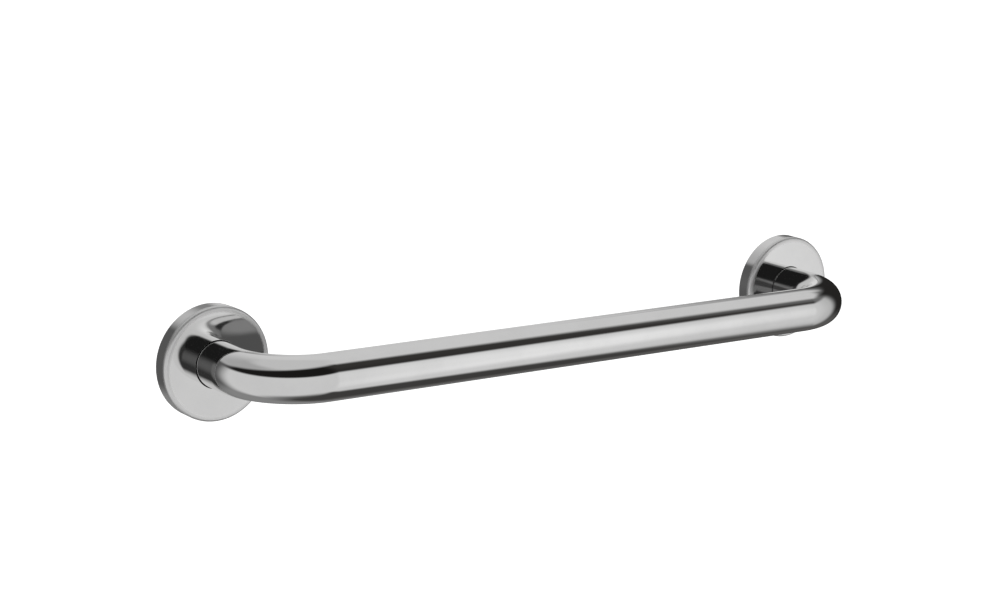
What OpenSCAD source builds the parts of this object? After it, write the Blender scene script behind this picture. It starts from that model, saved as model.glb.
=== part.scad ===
// Wall-mounted grab rail with concealed fixings.
//
// One round tube is bent through 90 degrees at both ends and welded to two wall flanges.
// Each flange is screwed to the wall over a thin seal, and a round cover hides it. The
// cover grips the flange's edge through an O-ring, turns on it, and slides off along the
// rail's leg to reach the screws.
//
// +X runs along the rail, +Y into the wall and +Z up. The wall's surface is y = 0, and
// the origin lies on it midway between the two flanges.

/* [Rail] */
// Distance between the centre lines of the two legs
rail_centres = 500; // [250:5:900]
// Outside diameter of the tube
tube_d = 32; // [28:0.5:34]
// Wall thickness of the tube
tube_wall = 1.5; // [1:0.1:3]
// Distance from the wall to the centre line of the bar
standoff = 77; // [75:1:100]
// Bend radius of the tube's centre line
bend_radius = 45; // [36:1:52]

/* [Covers] */
// Outside diameter of a cover
cover_d = 78; // [74:1:90]
// Depth of a cover, from the wall to its face
cover_depth = 13; // [12:0.5:18]
// Thickness of the cover's face and rim
cover_wall = 2; // [1.5:0.1:2.5]
// Radius of the rounded edge between the cover's face and rim
cover_edge_r = 2; // [0.5:0.1:3]

/* [Flanges and seals] */
// Thickness of a wall flange
flange_t = 4; // [3:0.5:4.5]
// Leg length of the fillet weld between flange and tube
weld_leg = 3; // [2:0.5:4]
// Thickness of the wall seal behind a flange
gasket_t = 1.5; // [1:0.1:2]
// Radial space between the flange's edge and the cover's rim
ring_space = 2; // [1.8:0.1:2.4]

/* [Wall screws] */
// Outside diameter of the screw's thread
screw_d = 5; // [4:0.1:5]
// Length of a screw under its head
screw_length = 20; // [16:1:60]
// Diameter of the screw's pan head
head_d = 9.2; // [8.5:0.1:9.4]
// Height of the screw's pan head
head_h = 3; // [2.4:0.1:3]
// Diameter of a plain washer
washer_d = 10; // [9.6:0.1:10.2]
// Thickness of a plain washer
washer_t = 1; // [0.6:0.1:1]

/* [Hidden] */
// Facets of a full circle; the surfaces themselves are true curves.
$fn = 96;

// Each side's name, and the sign of its X.
SIDES = [["left", -1], ["right", 1]];

// Each flange has three screws. One stands on the outer side. Two on the inner side
// stand clear above and below the bar, so that a straight driver reaches them all.
SCREWS = [["outer", 0], ["upper", 120], ["lower", 240]];

// Names of all nodes: the rail, then each side's parts, its screws and their washers.
SIDE_PARTS = ["flange", "weld", "gasket", "cover_oring", "cover"];

// Gaps and clearances
wall_gap = 0.3;         // cover's rim to the wall
leg_gap = 0.4;          // cover's hole to the tube
ring_slip = 0.05;       // O-ring to its groove, and to the flange's edge
flange_bore_gap = 0.05; // flange's bore to the tube
flange_hole_gap = 0.65; // flange's holes to the screw's thread
seal_hole_gap = 0.3;    // gasket's holes to the screw's thread
washer_gap = 0.15;      // washer's hole to the screw's thread
cut = 1;                // how far a cutting shape runs past what it cuts

// Radii
tube_r = tube_d / 2;
bore_r = tube_r - tube_wall;
cover_r = cover_d / 2;
rim_inner_r = cover_r - cover_wall;
flange_r = rim_inner_r - ring_space;
gasket_r = flange_r - 1.5;
screw_r = screw_d / 2;
shank_r = 0.42 * screw_d;
recess_r = 0.24 * head_d;
washer_r = washer_d / 2;

// The screws stand midway between the weld and the flange's edge.
screw_circle_r = (tube_r + weld_leg + flange_r) / 2;

// Heights above the wall, measured along -Y
leg_top = standoff - bend_radius;
flange_back = gasket_t;
flange_front = flange_back + flange_t;
washer_front = flange_front + washer_t;

// Screw details
screw_reach = screw_length - washer_front;
point_length = screw_d;
point_r = 0.5;
head_round = 0.45 * head_h;
recess_depth = 0.55 * head_h;

// The O-ring sits in a groove inside the cover's rim and presses on the flange's edge.
groove_depth = 0.7;
groove_r = rim_inner_r + groove_depth;
oring_r = (groove_r - flange_r) / 2 - ring_slip;
oring_centre = [(groove_r + flange_r) / 2, flange_back + flange_t / 2];
edge_chamfer = 0.6;

// Puts a part on one side's leg. The part is drawn standing on the wall at z = 0 with
// its axis along +Z, which turns to -Y, and its +X points away from the rail's middle.
module at_leg(sign) {
    translate([sign * rail_centres / 2, 0, 0])
        mirror([sign < 0 ? 1 : 0, 0, 0])
            rotate([90, 0, 0])
                children();
}

// Places a part on one of a flange's screw positions.
module at_screw(angle) {
    rotate([0, 0, angle])
        translate([screw_circle_r, 0, 0])
            children();
}

// Cuts a flange's three screw holes, of radius r, between two heights.
module screw_holes(r, z0, z1) {
    for (screw = SCREWS)
        at_screw(screw[1])
            translate([0, 0, z0 - cut])
                cylinder(r = r, h = z1 - z0 + 2 * cut);
}

// A ring of rectangular section between two radii and two heights.
module ring(inner_r, outer_r, z0, z1) {
    rotate_extrude()
        translate([inner_r, z0])
            square([outer_r - inner_r, z1 - z0]);
}

// A solid round bar of radius r along the rail's whole centre line, which starts at the
// height leg_start on both legs.
module bent_bar(r, leg_start) {
    translate([bend_radius - rail_centres / 2, -standoff, 0])
        rotate([0, 90, 0])
            cylinder(r = r, h = rail_centres - 2 * bend_radius);
    for (side = SIDES)
        at_leg(side[1]) {
            translate([0, 0, leg_start])
                cylinder(r = r, h = leg_top - leg_start);
            translate([-bend_radius, 0, leg_top])
                rotate([90, 0, 0])
                    rotate_extrude(angle = 90)
                        translate([bend_radius, 0])
                            circle(r = r);
        }
}

// The bent tube. Its open ends stand in the flanges' bores, flush with their backs.
module rail_tube() {
    color("gainsboro")
        difference() {
            bent_bar(tube_r, flange_back);
            bent_bar(bore_r, flange_back - cut);
        }
}

// A wall flange: a round plate with a bore for the tube and three screw holes.
module flange() {
    inner_r = tube_r + flange_bore_gap;
    color("lightslategray")
        difference() {
            rotate_extrude()
                polygon([
                    [inner_r, flange_back],
                    [flange_r, flange_back],
                    [flange_r, flange_front - edge_chamfer],
                    [flange_r - edge_chamfer, flange_front],
                    [inner_r, flange_front],
                ]);
            screw_holes(screw_r + flange_hole_gap, flange_back, flange_front);
        }
}

// The fillet weld around the tube, with a slightly hollow face.
module weld() {
    color("slategray")
        translate([0, 0, flange_front])
            rotate_extrude()
                polygon([
                    [tube_r, 0],
                    [tube_r + weld_leg, 0],
                    [tube_r + weld_leg * 0.6, weld_leg * 0.3],
                    [tube_r + weld_leg * 0.3, weld_leg * 0.6],
                    [tube_r, weld_leg],
                ]);
}

// The flat seal between the flange and the wall.
module gasket() {
    color("dimgray")
        difference() {
            ring(bore_r, gasket_r, 0, gasket_t);
            screw_holes(screw_r + seal_hole_gap, 0, gasket_t);
        }
}

// The O-ring that holds the cover on the flange.
module cover_oring() {
    color("black")
        rotate_extrude()
            translate(oring_centre)
                circle(r = oring_r);
}

// Half section of the cover's outside, with its rounded front edge.
module cover_outline() {
    round_centre = [cover_r - cover_edge_r, cover_depth - cover_edge_r];
    square([round_centre[0], cover_depth]);
    square([cover_r, round_centre[1]]);
    translate(round_centre)
        circle(r = cover_edge_r);
}

// A cover: a shallow round cup, open to the wall, with a hole for the leg in its face.
module cover() {
    groove_half = oring_r + ring_slip;
    color("silver")
        rotate_extrude()
            difference() {
                cover_outline();
                // hollow inside
                translate([0, -cut])
                    square([rim_inner_r, cover_depth - cover_wall + cut]);
                // hole for the leg
                square([tube_r + leg_gap, cover_depth + cut]);
                // gap to the wall
                translate([0, -cut])
                    square([cover_r + cut, wall_gap + cut]);
                // lead-in at the open edge
                polygon([
                    [rim_inner_r - cut, wall_gap - cut],
                    [rim_inner_r + edge_chamfer + cut, wall_gap - cut],
                    [rim_inner_r - cut, wall_gap + edge_chamfer + cut],
                ]);
                // groove for the O-ring
                translate([rim_inner_r - cut, oring_centre[1] - groove_half])
                    square([groove_depth + cut, 2 * groove_half]);
            }
}

// The screw's pan head, with a rounded upper edge and a six-sided driver recess.
module screw_head() {
    difference() {
        rotate_extrude() {
            square([head_d / 2, head_h - head_round]);
            square([head_d / 2 - head_round, head_h]);
            translate([head_d / 2 - head_round, head_h - head_round])
                circle(r = head_round);
        }
        translate([0, 0, head_h - recess_depth])
            cylinder(r = recess_r, h = recess_depth + cut, $fn = 6);
    }
}

// A wall screw. The shank under the head is plain, and the threaded length starts at the
// wall's surface and ends in a point.
module screw() {
    thread_end = point_length - screw_reach;
    color("darkgray") {
        translate([0, 0, washer_front])
            screw_head();
        cylinder(r = shank_r, h = washer_front);
        translate([0, 0, thread_end])
            cylinder(r = screw_r, h = -thread_end);
        translate([0, 0, -screw_reach])
            cylinder(r1 = point_r, r2 = screw_r, h = point_length);
    }
}

// A plain washer.
module washer() {
    color("lightgray")
        ring(screw_r + washer_gap, washer_r, flange_front, washer_front);
}

rail_tube();

for (side = SIDES) {
    at_leg(side[1]) flange();
    at_leg(side[1]) weld();
    at_leg(side[1]) gasket();
    at_leg(side[1]) cover_oring();
    at_leg(side[1]) cover();
    for (screw = SCREWS) {
        at_leg(side[1]) at_screw(screw[1]) screw();
        at_leg(side[1]) at_screw(screw[1]) washer();
    }
}
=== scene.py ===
"""The grab rail's looks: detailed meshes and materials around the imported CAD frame.

Metres throughout. +X runs along the bar, +Y into the wall, +Z up; the wall's surface is y = 0.
A leg's own measures are r, the distance from its axis, and h, the height above the wall (-Y).
"""
import math

import bpy
from mathutils import Matrix, Vector


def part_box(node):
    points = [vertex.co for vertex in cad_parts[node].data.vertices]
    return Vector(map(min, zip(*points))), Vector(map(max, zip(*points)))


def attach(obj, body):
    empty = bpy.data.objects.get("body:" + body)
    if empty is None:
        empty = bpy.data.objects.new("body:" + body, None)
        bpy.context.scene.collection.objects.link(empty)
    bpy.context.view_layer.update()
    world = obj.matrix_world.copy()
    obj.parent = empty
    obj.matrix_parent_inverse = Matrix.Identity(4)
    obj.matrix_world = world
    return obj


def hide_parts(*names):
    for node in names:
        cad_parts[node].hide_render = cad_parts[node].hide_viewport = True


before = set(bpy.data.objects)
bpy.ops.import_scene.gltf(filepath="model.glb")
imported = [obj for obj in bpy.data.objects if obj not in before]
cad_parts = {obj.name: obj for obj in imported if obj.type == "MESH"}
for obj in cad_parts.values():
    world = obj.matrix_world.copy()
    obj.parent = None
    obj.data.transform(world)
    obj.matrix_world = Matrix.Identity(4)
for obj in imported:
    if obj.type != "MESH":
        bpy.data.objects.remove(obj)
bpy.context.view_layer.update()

MM = 0.001
SIDES = {"left": -1, "right": 1}
SCREWS = {"outer": 0, "upper": 120, "lower": 240}  # degrees about a leg, from its outer side


# --- Sizes, read from the CAD nodes -------------------------------------------------------------

def half_size(node):
    """Half of a node's box, along X, Y and Z."""
    low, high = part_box(node)
    return (high - low) / 2


def heights(node):
    """The lowest and highest h of a node."""
    low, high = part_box(node)
    return -high.y, -low.y


TUBE_R = half_size("rail_tube").z
LEG_X = sum(corner.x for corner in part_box("right_cover")) / 2
TUBE_END, TUBE_TOP = heights("rail_tube")
STANDOFF = TUBE_TOP - TUBE_R
BEND_R = 45 * MM
BORE_R = TUBE_R - 1.5 * MM

COVER_R = half_size("left_cover").z
COVER_BACK, COVER_FACE = heights("left_cover")
COVER_WALL = 2 * MM
COVER_EDGE = 2 * MM  # radius of the rounded edge between rim and face
COVER_HOLE_R = TUBE_R + 0.4 * MM
RIM_INNER_R = COVER_R - COVER_WALL

FLANGE_R = half_size("left_flange").z
FLANGE_BACK, FLANGE_FRONT = heights("left_flange")
FLANGE_HOLE_R = 3.15 * MM
GASKET_R = half_size("left_gasket").z
GASKET_T = heights("left_gasket")[1]
GASKET_HOLE_R = 2.8 * MM

ORING_LOW, ORING_HIGH = heights("left_cover_oring")
ORING_R = (ORING_HIGH - ORING_LOW) / 2
ORING_MID_R = half_size("left_cover_oring").z - ORING_R
ORING_H = (ORING_LOW + ORING_HIGH) / 2
GROOVE_R = RIM_INNER_R + 0.7 * MM
GROOVE_HALF = ORING_R + 0.05 * MM

WELD_R = half_size("left_weld").z
WELD_LOW, WELD_TOP = heights("left_weld")

SCREW_CIRCLE_R = (WELD_R + FLANGE_R) / 2
SCREW_TIP, SCREW_TOP = heights("left_screw_outer")
HEAD_R = half_size("left_screw_outer").z
THREAD_R = 2.5 * MM
THREAD_CORE_R = 1.7 * MM
THREAD_PITCH = 1.8 * MM
SHANK_R = 2.1 * MM
POINT_LENGTH = 5 * MM
WASHER_R = half_size("left_washer_outer").z
WASHER_HOLE_R = THREAD_R + 0.15 * MM
WASHER_BACK, WASHER_FRONT = heights("left_washer_outer")


# --- Mesh building ------------------------------------------------------------------------------

def new_object(name, verts, faces, normals=None, sharp_degrees=None):
    """A smooth-shaded object, with its own vertex normals or with sharp edges over an angle."""
    mesh = bpy.data.meshes.new(name)
    mesh.from_pydata(verts, [], faces)
    mesh.update()
    mesh.shade_smooth()
    if normals:
        mesh.normals_split_custom_set_from_vertices(normals)
    if sharp_degrees:
        mesh.set_sharp_from_angle(angle=math.radians(sharp_degrees))
    obj = bpy.data.objects.new(name, mesh)
    bpy.context.scene.collection.objects.link(obj)
    return obj


def point_attribute(obj, name, vectors):
    """Stores one vector per vertex, for a material to read."""
    layer = obj.data.attributes.new(name, "FLOAT_VECTOR", "POINT")
    layer.data.foreach_set("vector", [c for v in vectors for c in v])


def ring_faces(rings, segments, flip, closed=True):
    """Quads between each ring of vertices and the next, round and round."""
    faces = []
    for i in range(rings if closed else rings - 1):
        j = (i + 1) % rings
        for k in range(segments):
            m = (k + 1) % segments
            quad = (i * segments + k, i * segments + m, j * segments + m, j * segments + k)
            faces.append(quad[::-1] if flip else quad)
    return faces


def filleted(corners, steps=8):
    """A closed (r, h) polygon with rounded corners, as (r, h, normal r, normal h) points.

    Corners are (r, h, radius), anticlockwise. The normals make each straight stretch exactly flat.
    """
    points = []
    for i, (r, h, radius) in enumerate(corners):
        here = Vector((r, h))
        before = Vector(corners[i - 1][:2])
        after = Vector(corners[(i + 1) % len(corners)][:2])
        d_in = (here - before).normalized()
        d_out = (after - here).normalized()
        turn = math.atan2(d_in.x * d_out.y - d_in.y * d_out.x, d_in.dot(d_out))
        bulge = math.copysign(radius, turn)
        start = here - d_in * radius * math.tan(abs(turn) / 2)
        n_in = Vector((d_in.y, -d_in.x))
        centre = start - n_in * bulge
        for s in range(steps + 1):
            n = Matrix.Rotation(turn * s / steps, 2) @ n_in
            p = centre + n * bulge
            points.append((p.x, p.y, n.x, n.y))
    return points


def circle_outline(mid_r, mid_h, radius, steps=48):
    """A round section, as (r, h, normal r, normal h) points."""
    angles = [2 * math.pi * i / steps for i in range(steps)]
    return [(mid_r + radius * math.cos(a), mid_h + radius * math.sin(a), math.cos(a), math.sin(a))
            for a in angles]


def leg_axis(side):
    """Where a side's leg meets the wall, as (x, z)."""
    return SIDES[side] * LEG_X, 0.0


def screw_axis(side, which):
    """Where a screw meets the wall, as (x, z)."""
    a = math.radians(SCREWS[which])
    return SIDES[side] * (LEG_X + SCREW_CIRCLE_R * math.cos(a)), SCREW_CIRCLE_R * math.sin(a)


def lathe(name, axis, outline, segments=192):
    """A round part turned about an axis square to the wall, from its (r, h) outline."""
    x, z = axis
    verts, normals, coords = [], [], []
    for r, h, n_r, n_h in outline:
        for k in range(segments):
            a = 2 * math.pi * k / segments
            verts.append((x + r * math.cos(a), -h, z + r * math.sin(a)))
            normals.append((n_r * math.cos(a), -n_h, n_r * math.sin(a)))
            coords.append((r, h, 0))
    obj = new_object(name, verts, ring_faces(len(outline), segments, flip=False), normals)
    point_attribute(obj, "lathe", coords)
    return obj


def keep_result(obj):
    """Turns an object, with its modifiers or curves, into a plain mesh object."""
    depsgraph = bpy.context.evaluated_depsgraph_get()
    mesh = bpy.data.meshes.new_from_object(obj.evaluated_get(depsgraph))
    result = bpy.data.objects.new(obj.name, mesh)
    mesh.transform(obj.matrix_world)
    bpy.data.objects.remove(obj)
    bpy.context.scene.collection.objects.link(result)
    return result


def plate(name, side, outer_r, inner_r, hole_r, low, high, edge):
    """A round plate on a side's leg with a bore, three screw holes and softened edges."""
    x, z = leg_axis(side)
    # (x, z, radius, number of points)
    circles = [(x, z, outer_r, 192), (x, z, inner_r, 128)]
    circles += [(*screw_axis(side, which), hole_r, 64) for which in SCREWS]
    curve = bpy.data.curves.new(name, "CURVE")
    curve.dimensions = "2D"
    curve.fill_mode = "BOTH"
    curve.extrude = (high - low) / 2 - edge
    curve.bevel_depth = edge
    curve.bevel_resolution = 4
    curve.offset = -edge
    for cx, cz, r, points in circles:
        spline = curve.splines.new("POLY")
        spline.points.add(points - 1)
        for k, point in enumerate(spline.points):
            a = 2 * math.pi * k / points
            point.co = (cx + r * math.cos(a), cz + r * math.sin(a), 0, 1)
        spline.use_cyclic_u = True
    obj = bpy.data.objects.new(name, curve)
    stand_up = Matrix.Rotation(math.pi / 2, 4, "X")
    obj.matrix_world = Matrix.Translation((0, -(low + high) / 2, 0)) @ stand_up
    bpy.context.scene.collection.objects.link(obj)
    bpy.context.view_layer.update()
    obj = keep_result(obj)
    merge = obj.modifiers.new("merge", "WELD")
    merge.merge_threshold = 0.001 * MM
    obj = keep_result(obj)
    obj.data.shade_smooth()
    obj.data.set_sharp_from_angle(angle=math.radians(50))
    level = obj.modifiers.new("level", "WEIGHTED_NORMAL")
    level.keep_sharp = True
    return keep_result(obj)


# --- The bent tube ------------------------------------------------------------------------------

def rail_path(bend_steps=72, bar_steps=40):
    """Points along the tube's centre line: (place, direction, length so far)."""
    bar_x = LEG_X - BEND_R
    leg_top = STANDOFF - BEND_R
    turns = [math.pi / 2 * i / bend_steps for i in range(bend_steps + 1)]
    path = [(Vector((-LEG_X, -TUBE_END, 0)), Vector((0, -1, 0)))]
    for a in turns:
        place = Vector((-bar_x - BEND_R * math.cos(a), -leg_top - BEND_R * math.sin(a), 0))
        path.append((place, Vector((math.sin(a), -math.cos(a), 0))))
    for i in range(1, bar_steps):
        path.append((Vector((bar_x * (2 * i / bar_steps - 1), -STANDOFF, 0)), Vector((1, 0, 0))))
    for a in turns:
        place = Vector((bar_x + BEND_R * math.sin(a), -leg_top - BEND_R * math.cos(a), 0))
        path.append((place, Vector((math.cos(a), math.sin(a), 0))))
    path.append((Vector((LEG_X, -TUBE_END, 0)), Vector((0, 1, 0))))
    run = 0.0
    stations = []
    for i, (place, direction) in enumerate(path):
        run += (place - path[i - 1][0]).length if i else 0.0
        stations.append((place, direction, run))
    return stations


def make_tube(segments=160, edge=0.3 * MM):
    """The bent tube: outer skin, inner skin and two end faces with softened edges."""
    path = rail_path()
    edge_steps = 4
    rings = []  # (centre, direction, run, radius, radial normal, axial normal)

    def add_edge(station, inward, middle_r, n_from, n_to):
        """A quarter round, with its normal turning from one (radial, axial) direction to another."""
        place, direction, run = station
        centre = place + direction * edge * inward
        for i in range(edge_steps + 1):
            a = math.pi / 2 * i / edge_steps
            radial, axial = (n_from[k] * math.cos(a) + n_to[k] * math.sin(a) for k in (0, 1))
            rings.append((centre + direction * edge * axial, direction, run,
                          middle_r + edge * radial, radial, axial))

    add_edge(path[0], 1, TUBE_R - edge, (0, -1), (1, 0))
    rings.extend((place, direction, run, TUBE_R, 1, 0) for place, direction, run in path[1:-1])
    add_edge(path[-1], -1, TUBE_R - edge, (1, 0), (0, 1))
    add_edge(path[-1], -1, BORE_R + edge, (0, 1), (-1, 0))
    rings.extend((place, direction, run, BORE_R, -1, 0) for place, direction, run in path[-2:0:-1])
    add_edge(path[0], 1, BORE_R + edge, (-1, 0), (0, -1))

    up = Vector((0, 0, 1))
    verts, normals, coords = [], [], []
    for place, direction, run, radius, n_radial, n_axial in rings:
        out = direction.cross(up)
        for k in range(segments):
            a = 2 * math.pi * k / segments
            radial = out * math.cos(a) + up * math.sin(a)
            verts.append(place + radial * radius)
            normals.append(radial * n_radial + direction * n_axial)
            coords.append((run, radius * math.cos(a), radius * math.sin(a)))
    faces = ring_faces(len(rings), segments, flip=True)
    obj = new_object("rail_tube_polished", verts, faces, normals)
    point_attribute(obj, "straightened", coords)
    return obj


# --- Covers, seals and flanges ------------------------------------------------------------------

def make_cover(side):
    """A machined cover cup with a rounded edge, a bored face and the O-ring's groove inside."""
    inside = COVER_FACE - COVER_WALL
    lead_in = 0.6 * MM
    outline = filleted([
        (COVER_R, COVER_BACK, 0.25 * MM),
        (COVER_R, COVER_FACE, COVER_EDGE),
        (COVER_HOLE_R, COVER_FACE, 0.3 * MM),
        (COVER_HOLE_R, inside, 0.2 * MM),
        (RIM_INNER_R, inside, 0.8 * MM),
        (RIM_INNER_R, ORING_H + GROOVE_HALF, 0.12 * MM),
        (GROOVE_R, ORING_H + GROOVE_HALF, 0.2 * MM),
        (GROOVE_R, ORING_H - GROOVE_HALF, 0.2 * MM),
        (RIM_INNER_R, ORING_H - GROOVE_HALF, 0.12 * MM),
        (RIM_INNER_R, COVER_BACK + lead_in, 0.1 * MM),
        (RIM_INNER_R + lead_in, COVER_BACK, 0.1 * MM),
    ])
    return lathe(f"{side}_cover_polished", leg_axis(side), outline, segments=256)


def make_oring(side):
    """The O-ring in the cover's groove."""
    outline = circle_outline(ORING_MID_R, ORING_H, ORING_R)
    return lathe(f"{side}_cover_oring_rubber", leg_axis(side), outline)


def make_flange(side):
    """The wall plate that the tube is welded to."""
    bore = TUBE_R + 0.05 * MM
    return plate(f"{side}_flange_plate", side, FLANGE_R, bore, FLANGE_HOLE_R,
                 FLANGE_BACK, FLANGE_FRONT, 0.3 * MM)


def make_gasket(side):
    """The wall seal behind the flange."""
    return plate(f"{side}_gasket_sheet", side, GASKET_R, BORE_R, GASKET_HOLE_R,
                 0.0, GASKET_T, 0.15 * MM)


def make_weld(side, segments=420, ripples=70):
    """The fillet weld bead around the tube, laid down in overlapping ripples."""
    face_steps = 14
    lap = 0.16 * MM  # how far each ripple stands over the next
    ripple_bow = 0.45  # how far a ripple's middle lies from its ends, in ripples
    wander_depth = 0.06 * MM
    hollow = 0.12  # the face's sag, as a share of the weld's leg
    slope = math.sqrt(0.5)
    x, z = leg_axis(side)
    verts = []
    for i in range(face_steps + 1):
        s = i / face_steps
        middle = math.sin(math.pi * s)
        sag = hollow * middle * (WELD_R - TUBE_R)
        base_r = WELD_R + (TUBE_R - WELD_R) * s - sag * slope
        base_h = WELD_LOW + (WELD_TOP - WELD_LOW) * s - sag * slope
        for k in range(segments):
            a = 2 * math.pi * k / segments
            phase = (ripples * k / segments + ripple_bow * middle) % 1.0
            swell = lap * middle * (1 - phase) ** 0.7
            wander = wander_depth * middle * math.sin(5 * a + 1.0)
            r = base_r + (swell + wander) * slope
            h = base_h + (swell + wander) * slope
            verts.append((x + r * math.cos(a), -h, z + r * math.sin(a)))
    for k in range(segments):
        a = 2 * math.pi * k / segments
        verts.append((x + TUBE_R * math.cos(a), -WELD_LOW, z + TUBE_R * math.sin(a)))
    faces = ring_faces(face_steps + 2, segments, flip=False)
    return new_object(f"{side}_weld_bead", verts, faces, sharp_degrees=60)


# --- Screws and washers -------------------------------------------------------------------------

def make_washer(side, which):
    """A stamped plain washer: one edge rolled over, the other nearly sharp."""
    outline = filleted([
        (WASHER_HOLE_R, WASHER_BACK, 0.08 * MM),
        (WASHER_R, WASHER_BACK, 0.08 * MM),
        (WASHER_R, WASHER_FRONT, 0.3 * MM),
        (WASHER_HOLE_R, WASHER_FRONT, 0.2 * MM),
    ])
    return lathe(f"{side}_washer_{which}_plain", screw_axis(side, which), outline, segments=96)


def thread_rows(rows_per_turn=16):
    """Rows of the screw's threaded length, from its point to the wall's surface."""
    count = int(-SCREW_TIP / THREAD_PITCH * rows_per_turn)
    crest_share = 0.32  # half the ridge's width at its foot, as a share of the pitch
    uncut_height = 1.15  # the ridge's height, in thread depths, before its crest is cut flat at 1
    tip_core_r = 0.15 * MM
    tip_crest_r = 0.3 * MM
    run_out = 0.6 * THREAD_PITCH

    def radius_at(h):
        """The row's radius as a function of the angle round the screw."""
        taper = min(1.0, max(0.0, (h - SCREW_TIP) / POINT_LENGTH))
        core = tip_core_r + (THREAD_CORE_R - tip_core_r) * taper ** 0.8
        crest = tip_crest_r + (THREAD_R - tip_crest_r) * taper ** 0.9
        fade = min(1.0, max(0.0, -h / run_out))

        def radius(a):
            turn = (h / THREAD_PITCH - a / (2 * math.pi)) % 1.0
            ridge = max(0.0, 1 - abs(turn - 0.5) / crest_share)
            return core + (crest - core) * min(1.0, ridge * uncut_height) * fade
        return radius

    rows_h = [SCREW_TIP * (1 - i / count) for i in range(count + 1)]
    return [(h, radius_at(h)) for h in rows_h]


def head_rows():
    """Rows of the plain shank, the pan head and its six-lobed recess."""
    head_h = SCREW_TOP - WASHER_FRONT
    crown_h = 0.55 * head_h
    crown_steps = 12
    flat_r = 2.6 * MM
    neck_fillet = 0.25 * MM
    rim_chamfer = 0.15 * MM
    lobe_r = 1.95 * MM
    lobe_wave = 0.26 * MM
    recess_floor = SCREW_TOP - 0.55 * head_h

    def lobes(scale):
        """The recess's outline, as a radius for each angle."""
        return lambda a: scale * (lobe_r + lobe_wave * math.cos(6 * a))

    rows = [
        (0.02 * MM, SHANK_R),
        (WASHER_FRONT - neck_fillet, SHANK_R),
        (WASHER_FRONT, SHANK_R + neck_fillet),
        (WASHER_FRONT, HEAD_R - rim_chamfer),
        (WASHER_FRONT + rim_chamfer, HEAD_R),
    ]
    side_top = SCREW_TOP - crown_h
    for i in range(crown_steps + 1):
        a = math.pi / 2 * i / crown_steps
        rows.append((side_top + crown_h * math.sin(a), flat_r + (HEAD_R - flat_r) * math.cos(a)))
    rows += [
        (SCREW_TOP, lobes(1.06)),
        (SCREW_TOP - 0.1 * MM, lobes(1.0)),
        (recess_floor, lobes(0.97)),
        (recess_floor - 0.1 * MM, lobes(0.85)),
        (recess_floor - 0.35 * MM, lobes(0.1)),
    ]
    return rows


def make_screw(side, which, segments=72):
    """A pan-head wall screw with a cut thread, a drawn point and a six-lobed recess."""
    x, z = screw_axis(side, which)
    rows = thread_rows() + head_rows()  # (h, radius), the radius a number or a function of the angle
    verts = []
    for h, radius in rows:
        for k in range(segments):
            a = 2 * math.pi * k / segments
            r = radius(a) if callable(radius) else radius
            verts.append((x + r * math.cos(a), -h, z + r * math.sin(a)))
    faces = ring_faces(len(rows), segments, flip=False, closed=False)
    faces.append(tuple(range(segments))[::-1])
    faces.append(tuple(range((len(rows) - 1) * segments, len(rows) * segments)))
    return new_object(f"{side}_screw_{which}_threaded", verts, faces, sharp_degrees=35)


# --- Materials ----------------------------------------------------------------------------------

def add(tree, kind, inputs=None, **settings):
    """Adds a node. Inputs are values or sockets, by name or index."""
    node = tree.nodes.new("ShaderNode" + kind)
    for key, value in settings.items():
        setattr(node, key, value)
    for key, value in (inputs or {}).items():
        if isinstance(value, bpy.types.NodeSocket):
            tree.links.new(value, node.inputs[key])
        else:
            node.inputs[key].default_value = value
    return node


def attribute_vector(tree, name):
    """A vector that the mesh stores for each of its points."""
    return add(tree, "Attribute", attribute_name=name).outputs["Vector"]


def object_vector(tree):
    """The place on the object, in metres."""
    return add(tree, "TexCoord").outputs["Object"]


def scaled(tree, vector, x, y, z):
    """A vector stretched along its axes."""
    return add(tree, "VectorMath", {0: vector, 1: (x, y, z)}, operation="MULTIPLY").outputs[0]


def noise(tree, vector, scale, detail=2.0, roughness=0.5):
    """Noise from 0 to 1."""
    inputs = {"Vector": vector, "Scale": scale, "Detail": detail, "Roughness": roughness}
    return add(tree, "TexNoise", inputs).outputs["Fac"]


def ramp(tree, value, low, high, to_low, to_high, smooth=True):
    """Maps a range of values to another, held at its ends."""
    inputs = {"Value": value, "From Min": low, "From Max": high, "To Min": to_low, "To Max": to_high}
    kind = "SMOOTHSTEP" if smooth else "LINEAR"
    return add(tree, "MapRange", inputs, interpolation_type=kind).outputs["Result"]


def math_node(tree, operation, a, b=0.0):
    """One arithmetic step."""
    return add(tree, "Math", {0: a, 1: b}, operation=operation).outputs[0]


def dot_product(tree, a, b):
    """The dot product of two vectors."""
    return add(tree, "VectorMath", {0: a, 1: b}, operation="DOT_PRODUCT").outputs["Value"]


def mixed(tree, factor, a, b):
    """A colour between two others."""
    return add(tree, "Mix", {0: factor, 6: a, 7: b}, data_type="RGBA").outputs[2]


def bump(tree, height, distance, strength=1.0, normal=None):
    """A surface relief of the given depth in metres."""
    inputs = {"Height": height, "Distance": distance, "Strength": strength}
    if normal:
        inputs["Normal"] = normal
    return add(tree, "Bump", inputs).outputs["Normal"]


def new_material(name, metallic, specular=0.5):
    """An empty material, its node tree and its shader."""
    material = bpy.data.materials.new(name)
    material.use_nodes = True
    tree = material.node_tree
    shader = tree.nodes["Principled BSDF"]
    shader.inputs["Metallic"].default_value = metallic
    shader.inputs["Specular IOR Level"].default_value = specular
    return material, tree, shader


def feed(tree, shader, color, roughness, normal):
    """Joins the three varying properties to a shader."""
    tree.links.new(color, shader.inputs["Base Color"])
    tree.links.new(roughness, shader.inputs["Roughness"])
    tree.links.new(normal, shader.inputs["Normal"])


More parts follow.
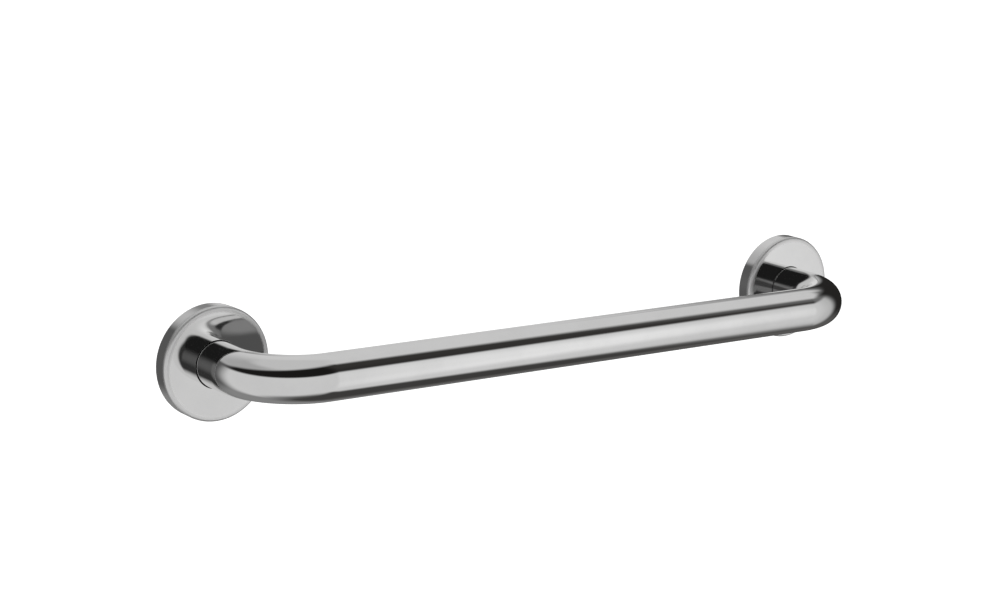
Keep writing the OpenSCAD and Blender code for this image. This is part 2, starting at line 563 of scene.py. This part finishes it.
def polished_steel(name, coords, line_scale, worn_edge=False):
    """Mirror-polished stainless steel: faint polishing lines, fine haze, light handling marks.

    coords names the stored vector that the polishing lines follow, and line_scale stretches it.
    A worn edge is duller where r + h is greatest: on a cover's rounded edge and just beside it.
    """
    material, tree, shader = new_material(name, metallic=1.0)
    place = attribute_vector(tree, coords)
    lines = noise(tree, scaled(tree, place, *line_scale), 1.0, detail=3.0, roughness=0.65)
    haze = noise(tree, object_vector(tree), 38.0, detail=4.0, roughness=0.6)
    marks = noise(tree, scaled(tree, object_vector(tree), 1.0, 1.0, 1.7), 240.0, detail=5.0, roughness=0.7)
    worn = ramp(tree, marks, 0.62, 0.78, 0.0, 1.0)
    color = mixed(tree, ramp(tree, haze, 0.35, 0.7, 0.0, 1.0),
                  (0.905, 0.903, 0.900, 1), (0.870, 0.868, 0.866, 1))
    smooth = ramp(tree, haze, 0.3, 0.75, 0.022, 0.045)
    roughness = math_node(tree, "ADD", smooth, math_node(tree, "MULTIPLY", worn, 0.03))
    roughness = math_node(tree, "ADD", roughness, math_node(tree, "MULTIPLY", lines, 0.02))
    if worn_edge:
        outwards = dot_product(tree, place, (1, 1, 0))
        edge_start = COVER_R + COVER_FACE - COVER_EDGE
        worn_width = 3 * MM
        worn_roughness = 0.42
        wear = ramp(tree, outwards, edge_start - worn_width, edge_start, 0.0, worn_roughness)
        roughness = math_node(tree, "ADD", roughness, wear)
    drawn = bump(tree, noise(tree, scaled(tree, place, 9.0, 30.0, 30.0), 1.0, detail=1.0), 0.00006)
    normal = bump(tree, lines, 0.0000006, normal=drawn)
    feed(tree, shader, color, roughness, normal)
    return material


def brushed_steel(name, tint, rough, grain):
    """Satin stainless steel with a directional grain, cloudy stains and small nicks."""
    material, tree, shader = new_material(name, metallic=1.0)
    place = object_vector(tree)
    lines = noise(tree, scaled(tree, place, *grain), 1.0, detail=4.0, roughness=0.7)
    cloud = noise(tree, place, 55.0, detail=4.0)
    nicks = ramp(tree, noise(tree, place, 900.0, detail=3.0), 0.66, 0.74, 0.0, 1.0)
    dark = tuple(c * 0.78 for c in tint) + (1,)
    color = mixed(tree, ramp(tree, lines, 0.3, 0.7, 0.0, 1.0), dark, tint + (1,))
    color = mixed(tree, math_node(tree, "MULTIPLY", cloud, 0.3), color, tuple(c * 0.6 for c in tint) + (1,))
    roughness = math_node(tree, "ADD", ramp(tree, lines, 0.2, 0.8, rough, rough + 0.16),
                          math_node(tree, "MULTIPLY", nicks, 0.12))
    normal = bump(tree, lines, 0.000012, normal=bump(tree, nicks, 0.00002))
    feed(tree, shader, color, roughness, normal)
    return material


def weld_steel(name):
    """A weld bead with bands of heat tint from straw to blue, and a finely puckered skin."""
    material, tree, shader = new_material(name, metallic=1.0)
    place = object_vector(tree)
    height = math_node(tree, "MULTIPLY", add(tree, "SeparateXYZ", {0: place}).outputs["Y"], -1.0)
    wander = noise(tree, place, 140.0, detail=3.0)
    band = math_node(tree, "ADD", ramp(tree, height, WELD_LOW, WELD_TOP, 0.0, 1.0, smooth=False),
                     math_node(tree, "MULTIPLY", wander, 0.35))
    tints = add(tree, "ValToRGB", {0: band})
    stops = [(0.12, (0.60, 0.58, 0.55)), (0.45, (0.62, 0.55, 0.42)), (0.70, (0.50, 0.40, 0.34)),
             (0.88, (0.36, 0.36, 0.44)), (1.00, (0.55, 0.55, 0.56))]
    elements = tints.color_ramp.elements
    for _ in range(len(stops) - len(elements)):
        elements.new(0.5)
    for element, (position, tint) in zip(elements, stops):
        element.position = position
        element.color = tint + (1,)
    pucker = noise(tree, place, 2600.0, detail=3.0)
    roughness = ramp(tree, pucker, 0.3, 0.7, 0.24, 0.42)
    feed(tree, shader, tints.outputs["Color"], roughness, bump(tree, pucker, 0.00003))
    return material


def rubber(name, tint, rough, relief):
    """Dark rubber with moulding bloom, fine grain and specks of dust."""
    material, tree, shader = new_material(name, metallic=0.0, specular=0.4)
    place = object_vector(tree)
    bloom = noise(tree, place, 70.0, detail=4.0, roughness=0.6)
    grain = noise(tree, place, 3200.0, detail=3.0)
    dust = ramp(tree, noise(tree, place, 1500.0, detail=2.0), 0.70, 0.78, 0.0, 0.5)
    pale = tuple(c * 1.9 + 0.01 for c in tint) + (1,)
    color = mixed(tree, ramp(tree, bloom, 0.35, 0.75, 0.0, 0.8), tint + (1,), pale)
    color = mixed(tree, dust, color, (0.25, 0.24, 0.22, 1))
    roughness = ramp(tree, bloom, 0.3, 0.8, rough, rough + 0.18)
    feed(tree, shader, color, roughness, bump(tree, grain, relief))
    return material


# --- Studio -------------------------------------------------------------------------------------

STEEL_REFLECTANCE = 0.89  # about midway between the polished steel's two colours


def lamp(level, warm=0.0):
    """The light that polished steel shows as a display grey from 0 to 255, slightly warmed."""
    value = level / 255
    linear = value / 12.92 if value <= 0.04045 else ((value + 0.055) / 1.055) ** 2.4
    linear /= STEEL_REFLECTANCE
    return (linear * (1 + warm), linear, linear * (1 - warm), 1)


def studio_light():
    """Soft studio light from all round: light walls and ceiling with dark gaps between them.

    Directions are azimuth, 0 straight out from the wall and + towards +X, and elevation, in degrees.
    Each panel is laid over the ones before it.
    """
    world = bpy.data.worlds.new("studio")
    bpy.context.scene.world = world
    world.use_nodes = True
    tree = world.node_tree
    direction = add(tree, "TexCoord").outputs["Generated"]
    axes = add(tree, "SeparateXYZ", {0: direction}).outputs
    degrees = 180 / math.pi
    backward = math_node(tree, "MULTIPLY", axes["Y"], -1.0)
    azimuth = math_node(tree, "MULTIPLY", math_node(tree, "ARCTAN2", axes["X"], backward), degrees)

    def angle_from(az, el):
        """The angle between the light's direction and a fixed one."""
        a, e = math.radians(az), math.radians(el)
        fixed = (math.sin(a) * math.cos(e), -math.cos(a) * math.cos(e), math.sin(e))
        cosine = dot_product(tree, direction, fixed)
        return math_node(tree, "MULTIPLY", math_node(tree, "ARCCOSINE", cosine), degrees)

    def elevation(tilt=0.0, towards=0.0):
        """Elevation, less tilt degrees on one side and more on the other."""
        return math_node(tree, "SUBTRACT", 90.0, angle_from(towards + 180, 90 - tilt))

    def above(value, edge, soft):
        """A mask that is half on at an edge, and goes from off to on within soft of it."""
        return ramp(tree, value, edge - soft, edge + soft, 0.0, 1.0)

    def below(value, edge, soft):
        """The mask above() turned round: on below the edge and off over it."""
        return ramp(tree, value, edge - soft, edge + soft, 1.0, 0.0)

    def within(middle, half, soft):
        """A mask for directions whose azimuth is near a middle value."""
        shifted = math_node(tree, "SUBTRACT", azimuth, middle)
        wrapped = add(tree, "Math", {0: shifted, 1: 180.0, 2: -180.0}, operation="WRAP").outputs[0]
        return below(math_node(tree, "ABSOLUTE", wrapped), half, soft)

    def fading(start, level_there, end, level_after, warm=0.05):
        """A light whose level changes from one azimuth to another."""
        return mixed(tree, ramp(tree, azimuth, start, end, 0.0, 1.0),
                     lamp(level_there, warm), lamp(level_after, warm))

    def panel(under, tone, *masks, warm=0.0):
        """Lays a panel over the light so far. Its tone is a display level, or a light of its own."""
        product = masks[0]
        for mask in masks[1:]:
            product = math_node(tree, "MULTIPLY", product, mask)
        color = tone if isinstance(tone, bpy.types.NodeSocket) else lamp(tone, warm)
        return mixed(tree, product, under, color)

    height = elevation()
    rear = mixed(tree, below(height, -38, 12), lamp(82), lamp(128))
    rear = panel(rear, 125, within(160, 30, 10), above(height, -45, 12))
    rear = panel(rear, 192, within(143, 8, 3), above(height, -15, 8))

    ceiling_edge = above(elevation(8, -5), 37, 6)
    ceiling = panel(rear, 195, ceiling_edge)
    ceiling = panel(ceiling, 160, within(-115, 55, 35), ceiling_edge)
    ceiling = panel(ceiling, 185, above(height, 62, 6))

    gap_top = below(elevation(17.4, 14), 45.7, 6)
    gap = panel(ceiling, fading(25, 24, 48, 48), above(azimuth, -122, 11), below(azimuth, 65, 10),
                gap_top, above(height, 0, 8))
    gap = panel(gap, 105, above(azimuth, 56, 6), below(azimuth, 112, 6), below(height, 41, 5),
                above(height, 20, 8))

    wall_top = below(elevation(5.4, 110), 25.6, 4)
    wall = panel(gap, fading(46, 196, 80, 175, warm=0.0), above(azimuth, -126, 14), below(azimuth, 87, 12),
                 wall_top, above(height, -70, 9))
    wall = panel(wall, 225, within(37.2, 4.7, 6), above(height, -28, 16), below(height, 18, 16))

    flag_top = below(elevation(26, 48.6), 17.9, 4)
    flag = panel(wall, 34, above(azimuth, 87, 12), below(azimuth, 139, 5), flag_top,
                 above(height, -30, 20), warm=0.05)
    flag = panel(flag, 82, above(azimuth, 94, 8), below(azimuth, 132, 8), below(height, -22, 10), warm=0.03)
    under = panel(flag, 70, below(angle_from(65, -74), 22, 11), warm=0.03)
    light = panel(under, 58, within(74, 40, 10), below(height, -49, 4), warm=0.03)

    # Light that is reflected twice, by a leg and its cover, comes from a second, mostly darker studio.
    path = add(tree, "LightPath").outputs
    twice = ramp(tree, path["Glossy Depth"], 1.0, 2.0, 0.0, 1.0)
    behind = mixed(tree, ramp(tree, height, 6.0, 36.0, 0.0, 1.0), lamp(80), lamp(126))
    dark = (0.03, 0.03, 0.03, 1)
    dim = mixed(tree, 0.3, dark, light)
    dim = mixed(tree, within(130, 48, 6), dim, behind)
    dim = panel(dim, 190, below(angle_from(45, 42), 15, 4))
    dim = panel(dim, 42, within(72, 10, 4), above(height, 25, 6), below(height, 54, 6))
    dim = panel(dim, fading(-120, 62, -45, 102, warm=0.0), within(-76, 62, 6))
    dim = panel(dim, 48, within(-22, 9, 5), below(height, 20, 8))
    dim = panel(dim, 26, within(-10, 42, 6), above(height, 16, 5))
    open_front = math_node(tree, "MULTIPLY", below(angle_from(17, -4), 35, 5), below(height, 24, 4))
    light = mixed(tree, twice, light, mixed(tree, open_front, dim, light))

    # The camera itself sees plain white.
    light = mixed(tree, path["Is Camera Ray"], light, (1, 1, 1, 1))
    background = tree.nodes["Background"]
    tree.links.new(light, background.inputs["Color"])
    background.inputs["Strength"].default_value = 1.0


def make_floor():
    """A plain white floor far below the rail, lit from within like a light table."""
    size = 60.0
    low = -4.0
    corners = [(-size, -size, low), (size, -size, low), (size, size, low), (-size, size, low)]
    floor = new_object("studio_floor", corners, [(0, 1, 2, 3)])
    material, tree, shader = new_material("floor_white", metallic=0.0)
    cloud = noise(tree, object_vector(tree), 0.8)
    color = mixed(tree, cloud, (0.93, 0.93, 0.93, 1), (0.95, 0.95, 0.95, 1))
    tree.links.new(color, shader.inputs["Base Color"])
    shader.inputs["Roughness"].default_value = 0.8
    shader.inputs["Emission Color"].default_value = (1, 1, 1, 1)
    shader.inputs["Emission Strength"].default_value = 0.9
    floor.data.materials.append(material)
    floor.visible_glossy = False
    floor.visible_diffuse = False
    floor.visible_shadow = False


def make_camera():
    """The camera, aimed as the photograph's was."""
    azimuth, elevation, roll = math.radians(-35.7), math.radians(12.7), math.radians(1.6)
    distance = 1.785
    aim = Vector((-0.0137, 0, 0.0116))
    back = Vector((math.sin(azimuth) * math.cos(elevation), -math.cos(azimuth) * math.cos(elevation),
                   math.sin(elevation)))
    camera = bpy.data.cameras.new("camera")
    camera.lens = 89.98
    camera.sensor_width = 36
    camera.clip_end = 200
    obj = bpy.data.objects.new("camera", camera)
    bpy.context.scene.collection.objects.link(obj)
    turn = back.to_track_quat("Z", "Y").to_matrix().to_4x4() @ Matrix.Rotation(roll, 4, "Z")
    obj.matrix_world = Matrix.Translation(aim + back * distance) @ turn
    bpy.context.scene.camera = obj


# --- The whole rail -----------------------------------------------------------------------------

def install(obj, node, material, body):
    """Gives a piece its material and its body, in place of a CAD node."""
    obj.data.materials.clear()
    obj.data.materials.append(material)
    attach(obj, body)
    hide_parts(node)


make_camera()
bpy.context.scene.view_settings.view_transform = "Standard"
studio_light()
make_floor()

tube_steel = polished_steel("polished_tube_steel", "straightened", (60.0, 5200.0, 5200.0))
cover_steel = polished_steel("polished_cover_steel", "lathe", (6500.0, 6500.0, 0.0), worn_edge=True)
flange_steel = brushed_steel("flange_brushed_steel", (0.62, 0.62, 0.61), 0.26, (90.0, 900.0, 4200.0))
screw_steel = brushed_steel("screw_rolled_steel", (0.68, 0.68, 0.66), 0.22, (1500.0, 350.0, 1500.0))
washer_steel = brushed_steel("washer_stamped_steel", (0.70, 0.70, 0.70), 0.20, (2600.0, 500.0, 700.0))
bead_steel = weld_steel("weld_tinted_steel")
gasket_rubber = rubber("gasket_sheet_rubber", (0.035, 0.035, 0.036), 0.62, 0.00004)
oring_rubber = rubber("oring_nitrile", (0.012, 0.012, 0.012), 0.42, 0.00001)

install(make_tube(), "rail_tube", tube_steel, "rail")
for side in SIDES:
    install(make_cover(side), f"{side}_cover", cover_steel, f"{side}_cover_body")
    install(make_oring(side), f"{side}_cover_oring", oring_rubber, f"{side}_ring_body")
    install(make_flange(side), f"{side}_flange", flange_steel, "rail")
    install(make_weld(side), f"{side}_weld", bead_steel, "rail")
    install(make_gasket(side), f"{side}_gasket", gasket_rubber, "rail")
    for which in SCREWS:
        install(make_screw(side, which), f"{side}_screw_{which}", screw_steel, "rail")
        install(make_washer(side, which), f"{side}_washer_{which}", washer_steel, "rail")

bpy.context.view_layer.update()
